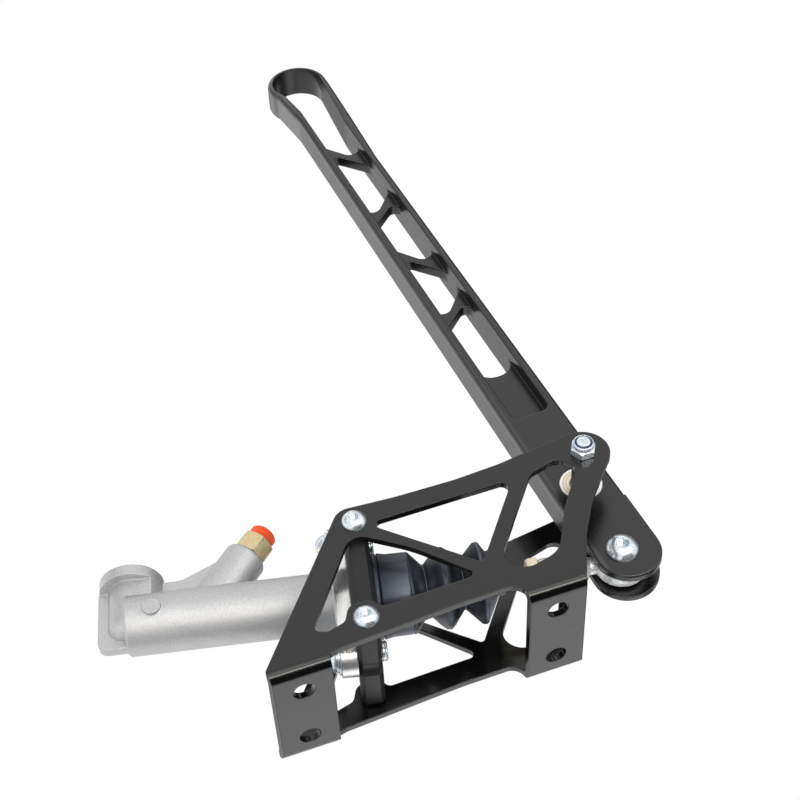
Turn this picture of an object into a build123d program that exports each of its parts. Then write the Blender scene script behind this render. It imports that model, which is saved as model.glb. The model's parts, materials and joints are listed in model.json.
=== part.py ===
"""Hydraulic parking brake lever: a drilled lever on a folded bracket, pushing a master cylinder.

Frame, in millimetres: the bracket's feet rest on z = 0, the pivot runs along Y, the lever stands up
along Z and leans a little to -X, and the cylinder lies along X with its closed end at -X.
The origin is the centre of the four foot holes. Pulling the handle moves its top to +X.
"""

from build123d import *
from math import atan2, cos, degrees, hypot, pi, radians, sin
import os

os.makedirs("parts", exist_ok=True)

# Bracket: one sheet folded into a U, cut away between its two feet
sheet = 3.0
bracket_width = 58.6
bend_inside_radius = 2.0
foot_pitch_x = 108.2
foot_pitch_y = 31.1
foot_length = 24.8
foot_hole_d = 9.0
pivot_x = 93.5
pivot_z = 64.5
lobe_radius = 11.7
rail_z = 70.4
clamp_x = -16.9
clamp_z = 39.45
clamp_pitch = 50.0
clamp_corner_radius = 8.1
cylinder_tilt = 13.0

# Lever: a flat bar with rounded edges, milled pockets and five windows
lever_lean = 3.9
lever_thickness = 17.4
lever_edge_radius = 2.9
fork_edge_radius = 1.0
fork_edge_top = 14.0
fork_radius = 14.8
fork_centre = 41.3
fork_slot = 10.6
fork_slot_top = 22.0
blade_half = 13.5
grip_radius = 17.3
grip_wall = 3.0
grip_height = 346.5
grip_offset = -0.9
blade_drop = 84.5
flank_drop = 46.5
shoulder_drop = 8.5
web_thickness = 5.4
pocket_half = 9.4
pocket_bottom = 47.0
pin_drop = 40.3
pin_offset = -2.0
window_start = 81.5
rib_shares = (0.192, 0.354, 0.530, 0.729)
rib_rise = 6.0
rising_rib = (0.87, 1.15)
falling_rib = (-1.15, -1.32)
rib_corner_low = 5.0
rib_corner_high = 3.7
rib_bend = 9.0

# Bearings and the pivot's fasteners
bearing_bore_d = 6.0
bearing_outer_d = 19.0
bearing_width = 6.0
bearing_wall = 1.6
bearing_recess = 0.2
shield_thickness = 0.5
spacer_d = 9.0
pivot_bolt_d = 6.0
pivot_nut_flats = 10.0
pivot_nut_height = 6.0
thread_end = 0.8
socket_share = 0.65
hex_share = 0.62
insert_share = 0.78
insert_recess = 0.3

# Clevis bolt, rod end and push rod
clevis_bolt_d = 8.0
clevis_nut_flats = 13.0
clevis_nut_height = 8.0
ball_d = 15.8
ball_play = 0.1
liner_d = 18.2
liner_width = 6.4
rod_end_d = 22.0
rod_end_width = 8.0
rod_end_shank_d = 12.4
rod_end_length = 36.0
rod_thread_depth = 14.0
push_rod_d = 8.0
jam_nut_flats = 13.0
jam_nut_height = 5.0
collar_d = 14.2
collar_thickness = 1.7
collar_start = 0.5
dome_radius = 4.8
dome_reach = 4.5

# Mounting block between the side plates
block_thickness = 10.0
bore_above_clamp = 6.9
block_end_up = 23.6
block_tip_down = 8.5
block_tip_up = 8.0
block_arch_half = 4.5
block_arch_rise = 1.8
block_chamfer = 1.8
screw_d = 6.0
screw_depth = 12.0

# Master cylinder
bore_d = 17.8
body_d = 25.7
body_front = 94.2
bore_front = 85.0
flange_thickness = 7.0
flange_bolt_pitch = 56.0
flange_bolt_d = 8.0
ear_radius = 9.2
spigot_d = 28.4
spigot_length = 18.0
neck_d = 19.4
neck_forward = 92.2
neck_low = 9.3
neck_foot = 7.0
disc_d = 27.4
disc_top = 22.0
disc_thickness = 5.0
inlet_d = 14.5
inlet_depth = 9.0
web_plate = 4.0
web_forward = 106.0
web_low = 12.5
rib_low = 19.4
rib_high = 28.1
rib_rear = 54.0
port_forward = 63.2
port_angle = 55.0
port_boss_d = 18.6
port_length = 36.2
port_rim = 2.0
port_thread_d = 10.0
port_thread_depth = 12.0
passage_d = 3.0
adapter_flats = 13.6
adapter_hex = 9.6
adapter_bore_d = 9.2
adapter_floor = 2.5
plug_d = 11.8
plug_height = 5.2
pad_d = 8.0
pad_forward = 82.25
pad_low = 1.0
pad_rise = 0.9
washer_d = 16.0
washer_thickness = 1.0
bolt_protrusion = 2.6

# Inside the cylinder
piston_rear = 9.0
piston_length = 33.0
piston_play = 0.05
recess_d = 12.8
cup_length = 5.5
waist_d = 12.5
stub_d = 8.0
seal_rear = 1.0
seal_width = 3.0
seal_depth = 2.2
seat_thickness = 1.5
spring_d = 14.0
spring_wire = 1.4
spring_turns = 6
retainer_front = 11.9
retainer_thickness = 1.6
retainer_d = 20.8
retainer_hole_d = 12.4
circlip_thickness = 1.2
circlip_bite = 0.9

# Boot over the push rod
boot_d = 35.0
boot_neck_d = 21.0
boot_start = 10.3
boot_shoulder = 25.0
boot_cone = 7.0
boot_end = 65.0
boot_lip = 2.0
boot_wall = 1.4
boot_base_wall = 2.0
boot_ledge = 0.6

# Clearances that every seat is built with
free_hole = 0.2
slip = 0.05
seat_gap = 0.1
axial_gap = 0.3

# Working values
half_width = bracket_width / 2
half_gap = half_width - sheet
half_lever = lever_thickness / 2
lean = radians(lever_lean)
tilt = radians(cylinder_tilt)
clamp_corner_z = clamp_z + clamp_pitch / 2 * cos(tilt)
foot_in = foot_pitch_x / 2 - foot_length / 2
foot_out = foot_pitch_x / 2 + foot_length / 2

bracket_plane = Plane.XZ
lever_plane = Plane(origin=(pivot_x, 0, pivot_z), x_dir=(cos(lean), 0, sin(lean)), z_dir=(0, -1, 0))
block_end_down = flange_bolt_pitch / 2 + block_tip_down
block_top = flange_bolt_pitch / 2 + block_tip_up
block_shift = bore_above_clamp * sin(tilt) - block_thickness / 2 * cos(tilt)
block_rise = bore_above_clamp * cos(tilt) + block_thickness / 2 * sin(tilt)
bore_plane = Plane(
    origin=(clamp_x + block_shift, 0, clamp_z + block_rise),
    x_dir=(cos(tilt), 0, -sin(tilt)),
    z_dir=(0, -1, 0),
)
bore_axis = Axis(bore_plane.origin, bore_plane.x_dir)


def across_bore(forward):
    """A plane square to the bore; its x runs along Y and its y away from the feet."""
    origin = bore_plane.from_local_coords((-forward, 0, 0))
    return Plane(origin=origin, x_dir=(0, 1, 0), z_dir=bore_plane.x_dir)


# The rod runs from its ball seat in the piston to the pin in the lever's fork
pin_point = lever_plane.from_local_coords((pin_offset, -pin_drop, 0))
pin_along, pin_above, _ = bore_plane.to_local_coords(pin_point)
rod_angle = degrees(atan2(pin_above, pin_along - piston_rear))
rod_plane = Plane(
    origin=bore_plane.from_local_coords((piston_rear, 0, 0)),
    x_dir=bore_plane.x_dir.rotate(Axis.Y, -rod_angle),
    z_dir=(0, -1, 0),
)
rod_axis = Axis(rod_plane.origin, rod_plane.x_dir)
rod_length = hypot(pin_along - piston_rear, pin_above)


def outline(corners):
    """A face with straight sides from corners given as (x, y, radius)."""
    with BuildSketch() as face:
        with BuildLine():
            FilletPolyline(*[(x, y) for x, y, r in corners], radius=[r for x, y, r in corners], close=True)
        make_face()
    return face.sketch


def rings(profile):
    """A face between a line of (along, radius) points and the axis they are turned about."""
    with BuildSketch() as face:
        with BuildLine():
            Polyline(*profile, close=True)
        make_face()
    return face.sketch


def save(part, name):
    """Label a finished part and write it."""
    part.label = name
    export_step(part, f"parts/{name}.step")


# Bracket
with BuildPart() as bracket:
    with BuildSketch(Plane.YZ.offset(-foot_out - pivot_x)):
        with BuildLine():
            FilletPolyline(
                (-half_width, pivot_z * 2),
                (-half_width, 0),
                (half_width, 0),
                (half_width, pivot_z * 2),
                (half_gap, pivot_z * 2),
                (half_gap, sheet),
                (-half_gap, sheet),
                (-half_gap, pivot_z * 2),
                radius=[0, bend_inside_radius + sheet, bend_inside_radius + sheet, 0]
                + [0, bend_inside_radius, bend_inside_radius, 0],
                close=True,
            )
        make_face()
    extrude(amount=4 * pivot_x)
    with BuildSketch(bracket_plane):
        add(
            outline(
                [
                    (-foot_out, 0, 0.5),
                    (-foot_out - 1.1, 4.3, 2.5),
                    (clamp_x + 1.0, clamp_corner_z + clamp_corner_radius, clamp_corner_radius),
                    (9, rail_z - 0.15, 60),
                    (36, rail_z - 0.45, 60),
                    (57, rail_z + 0.9, 40),
                    (pivot_x - 2.0, pivot_z + lobe_radius + 0.2, 0),
                    (pivot_x + 2.0, pivot_z, 0),
                    (pivot_x + 7.9, pivot_z - 8.6, 0),
                    (87.1, 39.9, 60),
                    (76.0, 22.5, 60),
                    (foot_out + 0.2, 1.4, 1),
                    (foot_out, 0, 0.3),
                    (foot_in, 0, 0.3),
                    (foot_in - 1.0, 8.5, 6),
                    (14.3, 8.1, 60),
                    (-foot_in + 4.0, 4.8, 3),
                    (-foot_in, 3.8, 1),
                    (-foot_in, 0, 0.3),
                ]
            )
        )
        with Locations((pivot_x, pivot_z)):
            Circle(lobe_radius)
    extrude(amount=bracket_width, both=True, mode=Mode.INTERSECT)
    # Windows: the upper triangle, the lower one that clears the clamp screw, and the slanted slot
    with BuildSketch(bracket_plane):
        add(outline([(-6.9, 60.6, 2.5), (59.1, 61.2, 3.2), (30.9, 24.0, 1.6), (11.7, 42.5, 60)]))
        add(
            outline(
                [
                    (-14.8, 58.2, 7.0),
                    (-44.8, 16.2, 2.6),
                    (-39.0, 14.0, 2.0),
                    (-31.0, 16.0, 4.0),
                    (-27.4, 23.2, 5.5),
                    (-18.2, 23.2, 5.5),
                    (-14.4, 17.8, 3.0),
                    (27.4, 18.75, 2.2),
                    (6.3, 42.1, 60),
                ]
            )
        )
        add(
            outline(
                [
                    (67.3, 61.2, 6.0),
                    (81.3, 65.0, 6.0),
                    (87.5, 57.4, 4.0),
                    (73.5, 38.8, 60),
                    (62.0, 18.0, 12.0),
                    (44.8, 13.7, 8.5),
                    (38.7, 23.6, 7.0),
                    (52.5, 42.0, 60),
                ]
            )
        )
    extrude(amount=bracket_width, both=True, mode=Mode.SUBTRACT)
    with BuildSketch(bracket_plane):
        with Locations(bracket_plane.to_local_coords(Vector(pivot_x, 0, pivot_z))):
            Circle(pivot_bolt_d / 2 + free_hole / 2)
        for side in (-1, 1):
            with Locations((clamp_x + side * clamp_pitch / 2 * sin(tilt), clamp_z + side * clamp_pitch / 2 * cos(tilt))):
                Circle(screw_d / 2 + free_hole)
    extrude(amount=bracket_width, both=True, mode=Mode.SUBTRACT)
    with BuildSketch(Plane.XY):
        with GridLocations(foot_pitch_x, foot_pitch_y, 2, 2):
            Circle(foot_hole_d / 2)
    extrude(amount=sheet, mode=Mode.SUBTRACT)
save(bracket.part, "bracket")


# Fasteners and nuts that several pieces share, each standing on z = 0 of its own plane
def shank(d, length):
    """A bolt's shank below z = 0 with a chamfered end."""
    with BuildPart() as bolt:
        with BuildSketch():
            Circle(d / 2)
        extrude(amount=-length)
        chamfer(bolt.edges().sort_by(Axis.Z)[0], thread_end / 2)
    return bolt.part


def button_screw(d, length):
    """A domed head with a hexagon socket, over its shank."""
    head_r = 0.875 * d
    head_h = 0.55 * d
    with BuildPart() as bolt:
        with BuildSketch(Plane.XZ):
            with BuildLine():
                Polyline((0, head_h), (0, 0), (head_r, 0), (head_r, 0.1 * d))
                Line((0, head_h), (0.4 * d, head_h))
                ThreePointArc((0.4 * d, head_h), (0.7 * d, 0.38 * d), (head_r, 0.1 * d))
            make_face()
        revolve()
        add(shank(d, length))
        with BuildSketch(Plane.XY.offset(head_h)):
            RegularPolygon(socket_share * d / 2, 6, major_radius=False)
        extrude(amount=-0.34 * d, mode=Mode.SUBTRACT)
    return bolt.part


def hex_nut(d, flats, height):
    """A hexagon with both faces chamfered round."""
    with BuildPart() as nut:
        with BuildSketch():
            RegularPolygon(flats / 2, 6, major_radius=False)
        extrude(amount=height)
        with BuildSketch(Plane.XZ):
            with BuildLine():
                Polyline(
                    (0, 0),
                    (0.95 * flats / 2, 0),
                    (1.2 * flats / 2, 0.07 * flats),
                    (1.2 * flats / 2, height - 0.07 * flats),
                    (0.95 * flats / 2, height),
                    (0, height),
                    close=True,
                )
            make_face()
        revolve(mode=Mode.INTERSECT)
        Hole(d / 2 + slip)
    return nut.part


def collar_nut(d, flats, height):
    """A self-locking nut: a hexagon below, and a round collar that is open for its insert."""
    with BuildPart() as nut:
        add(hex_nut(d, flats, hex_share * height))
        with BuildSketch(Plane.XY.offset(hex_share * height)):
            Circle(0.92 * flats / 2)
            Circle(insert_share * flats / 2, mode=Mode.SUBTRACT)
        extrude(amount=(1 - hex_share) * height)
        chamfer(nut.edges().group_by(Axis.Z)[-1].sort_by(SortBy.LENGTH)[-1], 0.04 * flats)
    return nut.part


def nut_insert(d, flats, height):
    """The plastic ring in a self-locking nut's collar."""
    with BuildPart() as ring:
        with BuildSketch(Plane.XY.offset(hex_share * height)):
            Circle(insert_share * flats / 2 - slip)
            Circle(d / 2 + slip / 2, mode=Mode.SUBTRACT)
        extrude(amount=(1 - hex_share) * height - insert_recess)
    return ring.part


def facing(point, y, side):
    """A plane across Y through a point, whose z points to -Y or +Y."""
    return Plane(origin=(point.X, y, point.Z), x_dir=(1, 0, 0), z_dir=(0, side, 0))


# Lever
def window(bottom, bottom_slope, top, top_slope):
    """A window's corners: its lower and upper edges cross the middle at two heights and slope to both walls."""
    corners = []
    for side in (-1, 1):
        radius = rib_corner_low if bottom_slope * side < 0 else rib_bend
        corners.append((side * pocket_half, bottom + bottom_slope * side * pocket_half, radius))
    for side in (1, -1):
        radius = rib_corner_high if top_slope * side > 0 else rib_bend
        corners.append((side * pocket_half, top + top_slope * side * pocket_half, radius))
    return corners


grip_hole = [
    (pocket_half, grip_height - flank_drop - 2, 60),
    (12.6, grip_height - shoulder_drop - 1, 30),
    (grip_offset + grip_radius - grip_wall, grip_height, 0),
    (grip_offset - grip_radius + grip_wall, grip_height, 0),
    (-11.9, grip_height - shoulder_drop - 2, 15),
    (-pocket_half, grip_height - flank_drop + 18, 20),
]
web_top = grip_height - flank_drop
pivot = Vector(pivot_x, 0, pivot_z)
with BuildSketch() as lever_face:
    add(
        outline(
            [
                (-fork_radius, -fork_centre, 0),
                (fork_radius, -fork_centre, 0),
                (blade_half, grip_height - blade_drop, 40),
                (15.3, grip_height - flank_drop + 4, 60),
                (grip_offset + grip_radius, grip_height - shoulder_drop, 20),
                (grip_offset + grip_radius, grip_height, 0),
                (grip_offset - grip_radius, grip_height, 0),
                (-16.2, grip_height - shoulder_drop, 25),
                (-13.3, grip_height - flank_drop + 12, 40),
                (-13.3, grip_height - flank_drop, 40),
                (-blade_half, grip_height - blade_drop, 60),
            ]
        )
    )
    with Locations((0, -fork_centre)):
        Circle(fork_radius)
    with Locations((grip_offset, grip_height)):
        Circle(grip_radius)

def bar(start, end, edge_radius):
    """The lever's bar between two heights, with the edges of its faces rounded."""
    with BuildPart() as piece:
        with BuildSketch(lever_plane):
            add(lever_face.sketch)
        extrude(amount=half_lever, both=True)
        fillet(piece.faces().filter_by(Axis.Y).edges(), edge_radius)
        with BuildSketch(lever_plane):
            with Locations((0, (start + end) / 2)):
                Rectangle(4 * grip_radius, end - start)
        extrude(amount=half_lever, both=True, mode=Mode.INTERSECT)
    return piece.part


with BuildPart() as lever:
    add(bar(-fork_edge_top, 2 * grip_height, lever_edge_radius))
    add(bar(-2 * fork_centre, -fork_edge_top, fork_edge_radius))
    # Pockets from both faces leave a web, and the windows go right through it
    with BuildSketch(lever_plane):
        add(outline([(-pocket_half, pocket_bottom, 4), (pocket_half, pocket_bottom, 4)] + grip_hole))
        with Locations((grip_offset, grip_height)):
            Circle(grip_radius - grip_wall)
    extrude(amount=half_lever, both=True, mode=Mode.SUBTRACT)
    with BuildSketch(lever_plane):
        with Locations((0, (pocket_bottom + web_top) / 2)):
            Rectangle(2 * pocket_half, web_top - pocket_bottom)
    extrude(amount=web_thickness / 2, both=True)
    with BuildSketch(lever_plane):
        lower = window_start
        lower_slope = 0
        for number, share in enumerate(rib_shares):
            height = window_start + share * (grip_height - window_start)
            under, over = rising_rib if number % 2 == 0 else falling_rib
            add(outline(window(lower, lower_slope, height - rib_rise / 2, under)))
            lower = height + rib_rise / 2
            lower_slope = over
        add(
            outline(
                [
                    (-pocket_half, lower - lower_slope * pocket_half, rib_bend),
                    (pocket_half, lower + lower_slope * pocket_half, rib_corner_low),
                ]
                + grip_hole
            )
        )
    extrude(amount=half_lever, both=True, mode=Mode.SUBTRACT)
    # Fork slot, bearing seats and the clevis bolt's hole
    with BuildSketch(Plane(lever_plane.origin, x_dir=(0, 1, 0), z_dir=lever_plane.x_dir)):
        add(
            outline(
                [
                    (-fork_slot / 2, -2 * fork_centre, 0),
                    (fork_slot / 2, -2 * fork_centre, 0),
                    (fork_slot / 2, -fork_slot_top, 2),
                    (-fork_slot / 2, -fork_slot_top, 2),
                ]
            )
        )
    extrude(amount=2 * fork_radius, both=True, mode=Mode.SUBTRACT)
    with BuildSketch(lever_plane):
        Circle(spacer_d / 2 + 1)
        with Locations((pin_offset, -pin_drop)):
            Circle(clevis_bolt_d / 2 + slip)
    extrude(amount=half_lever, both=True, mode=Mode.SUBTRACT)
    for side in (-1, 1):
        with BuildSketch(facing(pivot, side * half_lever, -side)):
            Circle(bearing_outer_d / 2 + slip / 2)
        extrude(amount=bearing_width + bearing_recess, mode=Mode.SUBTRACT)
save(lever.part, "lever")


# Bearings: two in the lever, their inner rings clamped with the spacers by the pivot bolt
pivot_section = Plane(origin=pivot, x_dir=(1, 0, 0), z_dir=(0, 0, 1))
pivot_axis = Axis(pivot, (0, 1, 0))
bearing_face = half_lever - bearing_recess
bearing_back = bearing_face - bearing_width
race_inner_r = bearing_bore_d / 2 + bearing_wall
race_outer_r = bearing_outer_d / 2 - bearing_wall


def sleeve(inner, outer, start, end):
    """A pair of tubes about the pivot, one each side of the middle."""
    with BuildPart() as pair:
        with BuildSketch(pivot_section):
            with Locations(((inner + outer) / 2, (start + end) / 2)):
                Rectangle(outer - inner, end - start)
        revolve(axis=pivot_axis)
        mirror(about=Plane.XZ)
    return pair.part


with BuildPart() as bearing_outer_rings:
    add(sleeve(race_outer_r, bearing_outer_d / 2, bearing_back, bearing_face))
save(bearing_outer_rings.part, "bearing_outer_rings")

with BuildPart() as bearing_inner_rings:
    add(sleeve(pivot_bolt_d / 2 + slip, race_inner_r, bearing_back, bearing_face))
save(bearing_inner_rings.part, "bearing_inner_rings")

with BuildPart() as bearing_shields:
    for outside in (bearing_back + shield_thickness, bearing_face):
        add(sleeve(race_inner_r + seat_gap, race_outer_r - slip, outside - shield_thickness, outside))
save(bearing_shields.part, "bearing_shields")

with BuildPart() as bearing_spacer:
    with BuildSketch(facing(pivot, -bearing_back, 1)):
        Circle(spacer_d / 2)
        Circle(pivot_bolt_d / 2 + slip, mode=Mode.SUBTRACT)
    extrude(amount=2 * bearing_back)
save(bearing_spacer.part, "bearing_spacer")

with BuildPart() as pivot_spacers:
    add(sleeve(pivot_bolt_d / 2 + slip, spacer_d / 2, bearing_face, half_gap))
save(pivot_spacers.part, "pivot_spacers")

with BuildPart() as pivot_bolt:
    with Locations(facing(pivot, half_width, 1)):
        add(button_screw(pivot_bolt_d, bracket_width + pivot_nut_height + thread_end))
save(pivot_bolt.part, "pivot_bolt")

with BuildPart() as pivot_nut:
    with Locations(facing(pivot, -half_width, -1)):
        add(collar_nut(pivot_bolt_d, pivot_nut_flats, pivot_nut_height))
save(pivot_nut.part, "pivot_nut")

with BuildPart() as pivot_nut_insert:
    with Locations(facing(pivot, -half_width, -1)):
        add(nut_insert(pivot_bolt_d, pivot_nut_flats, pivot_nut_height))
save(pivot_nut_insert.part, "pivot_nut_insert")

# Clevis bolt through the fork, with the rod end's ball on it
with BuildPart() as clevis_bolt:
    with Locations(facing(pin_point, -half_lever, -1)):
        add(button_screw(clevis_bolt_d, lever_thickness + clevis_nut_height + thread_end))
save(clevis_bolt.part, "clevis_bolt")

with BuildPart() as clevis_nut:
    with Locations(facing(pin_point, half_lever, 1)):
        add(collar_nut(clevis_bolt_d, clevis_nut_flats, clevis_nut_height))
save(clevis_nut.part, "clevis_nut")

with BuildPart() as clevis_nut_insert:
    with Locations(facing(pin_point, half_lever, 1)):
        add(nut_insert(clevis_bolt_d, clevis_nut_flats, clevis_nut_height))
save(clevis_nut_insert.part, "clevis_nut_insert")

with BuildPart() as rod_end_ball:
    with Locations(pin_point):
        Sphere(ball_d / 2)
    with BuildSketch(facing(pin_point, 0, 1)):
        Circle(ball_d / 2)
        Circle(clevis_bolt_d / 2 + slip, mode=Mode.SUBTRACT)
    extrude(amount=fork_slot / 2 - seat_gap, both=True, mode=Mode.INTERSECT)
save(rod_end_ball.part, "rod_end_ball")

# Rod end: a round head about the ball, and a threaded neck along the rod
neck_start = rod_length - rod_end_length
with BuildPart() as rod_end:
    with BuildSketch(rod_plane):
        with Locations((rod_length, 0)):
            Circle(rod_end_d / 2)
    extrude(amount=rod_end_width / 2, both=True)
    chamfer(rod_end.edges(), 0.8)
    with BuildSketch(rod_plane):
        with BuildLine():
            Polyline(
                (neck_start, 0),
                (neck_start, rod_end_shank_d / 2 - 1),
                (neck_start + 1, rod_end_shank_d / 2),
                (rod_length - rod_end_d / 2 - 7, rod_end_shank_d / 2),
                (rod_length - rod_end_d / 2 - 3, rod_end_width / 2 - 0.2),
                (rod_length - rod_end_d / 2 + 3, rod_end_width / 2 - 0.2),
                (rod_length - rod_end_d / 2 + 3, 0),
                close=True,
            )
        make_face()
    revolve(axis=rod_axis)
    with BuildSketch(rod_plane):
        with Locations((rod_length, 0)):
            Circle(liner_d / 2)
    extrude(amount=rod_end_width, both=True, mode=Mode.SUBTRACT)
    with BuildSketch(Plane(rod_plane.from_local_coords((neck_start, 0, 0)), z_dir=rod_plane.x_dir)):
        Circle(push_rod_d / 2 + slip)
    extrude(amount=rod_thread_depth + 1, mode=Mode.SUBTRACT)
save(rod_end.part, "rod_end")

with BuildPart() as rod_end_liner:
    with BuildSketch(facing(pin_point, 0, 1)):
        Circle(liner_d / 2 - slip)
    extrude(amount=liner_width / 2, both=True)
    with Locations(pin_point):
        Sphere((ball_d + ball_play) / 2, mode=Mode.SUBTRACT)
save(rod_end_liner.part, "rod_end_liner")

with BuildPart() as jam_nut:
    with Locations(
        Plane(rod_plane.from_local_coords((neck_start - jam_nut_height, 0, 0)), z_dir=rod_plane.x_dir)
    ):
        add(hex_nut(push_rod_d, jam_nut_flats, jam_nut_height))
save(jam_nut.part, "jam_nut")

# Push rod: a ball end in the piston, a collar that the retaining washer holds, and the threaded end
with BuildPart() as push_rod:
    with BuildSketch(rod_plane):
        with BuildLine():
            dome = dome_radius * sin(pi / 4)
            ThreePointArc(
                (-dome_reach, 0),
                (-dome_reach + dome_radius - dome, dome),
                (-dome_reach + dome_radius, dome_radius),
            )
            Polyline(
                (-dome_reach + dome_radius, dome_radius),
                (collar_start, dome_radius),
                (collar_start, collar_d / 2),
                (collar_start + collar_thickness, collar_d / 2),
                (collar_start + collar_thickness, push_rod_d / 2),
                (neck_start + rod_thread_depth - 0.5, push_rod_d / 2),
                (neck_start + rod_thread_depth, push_rod_d / 2 - 0.5),
                (neck_start + rod_thread_depth, 0),
                (-dome_reach, 0),
            )
        make_face()
    revolve(axis=rod_axis)
save(push_rod.part, "push_rod")

# Mounting block between the side plates
screw_spots = [(clamp_pitch / 2 * side - bore_above_clamp) for side in (-1, 1)]
with BuildPart() as clamp_block:
    with BuildSketch(across_bore(0)):
        add(
            outline(
                [
                    (-half_gap, -block_end_down, 2.5),
                    (half_gap, -block_end_down, 2.5),
                    (half_gap, block_end_up, 2.5),
                    (15.0, block_end_up, 5),
                    (9.5, block_top, 4),
                    (-9.5, block_top, 4),
                    (-15.0, block_end_up, 5),
                    (-half_gap, block_end_up, 2.5),
                ]
            )
        )
        arch_radius = (block_arch_half**2 + block_arch_rise**2) / (2 * block_arch_rise)
        with Locations((0, -block_end_down - arch_radius + block_arch_rise)):
            Circle(arch_radius, mode=Mode.SUBTRACT)
        Circle(spigot_d / 2 + slip, mode=Mode.SUBTRACT)
        with GridLocations(1, flange_bolt_pitch, 1, 2):
            Circle(flange_bolt_d / 2 + slip, mode=Mode.SUBTRACT)
    extrude(amount=block_thickness)
    for face in clamp_block.faces().filter_by(bore_axis):
        chamfer(face.outer_wire().edges(), block_chamfer)
    for side in (-1, 1):
        for spot in screw_spots:
            mouth = bore_plane.from_local_coords((block_thickness / 2, spot, 0))
            with BuildSketch(facing(mouth, side * half_gap, -side)):
                Circle(screw_d / 2 + slip)
            extrude(amount=screw_depth + screw_d / 4, mode=Mode.SUBTRACT)
save(clamp_block.part, "clamp_block")

with BuildPart() as block_screws:
    for spot in screw_spots:
        centre = bore_plane.from_local_coords((block_thickness / 2, spot, 0))
        for side in (-1, 1):
            with Locations(facing(centre, side * half_width, side)):
                add(button_screw(screw_d, sheet + screw_depth))
save(block_screws.part, "block_screws")

# Master cylinder casting
port_plane = Plane(
    origin=bore_plane.from_local_coords((-port_forward, 0, 0)),
    x_dir=(0, 1, 0),
    z_dir=bore_plane.x_dir.rotate(Axis.Y, -port_angle),
)
neck_plane = Plane(
    bore_plane.from_local_coords((-neck_forward, 0, 0)), x_dir=bore_plane.x_dir, z_dir=bore_plane.y_dir
)


def round_post(d, length, bottom_radius, top_radius):
    """A cylinder standing on z = 0 with one of its ends rounded."""
    with BuildPart() as post:
        with BuildSketch():
            Circle(d / 2)
        extrude(amount=length)
        ends = post.edges().filter_by(GeomType.CIRCLE).sort_by(Axis.Z)
        if bottom_radius > 0:
            fillet(ends[0], bottom_radius)
        if top_radius > 0:
            fillet(ends[-1], top_radius)
    return post.part


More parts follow.
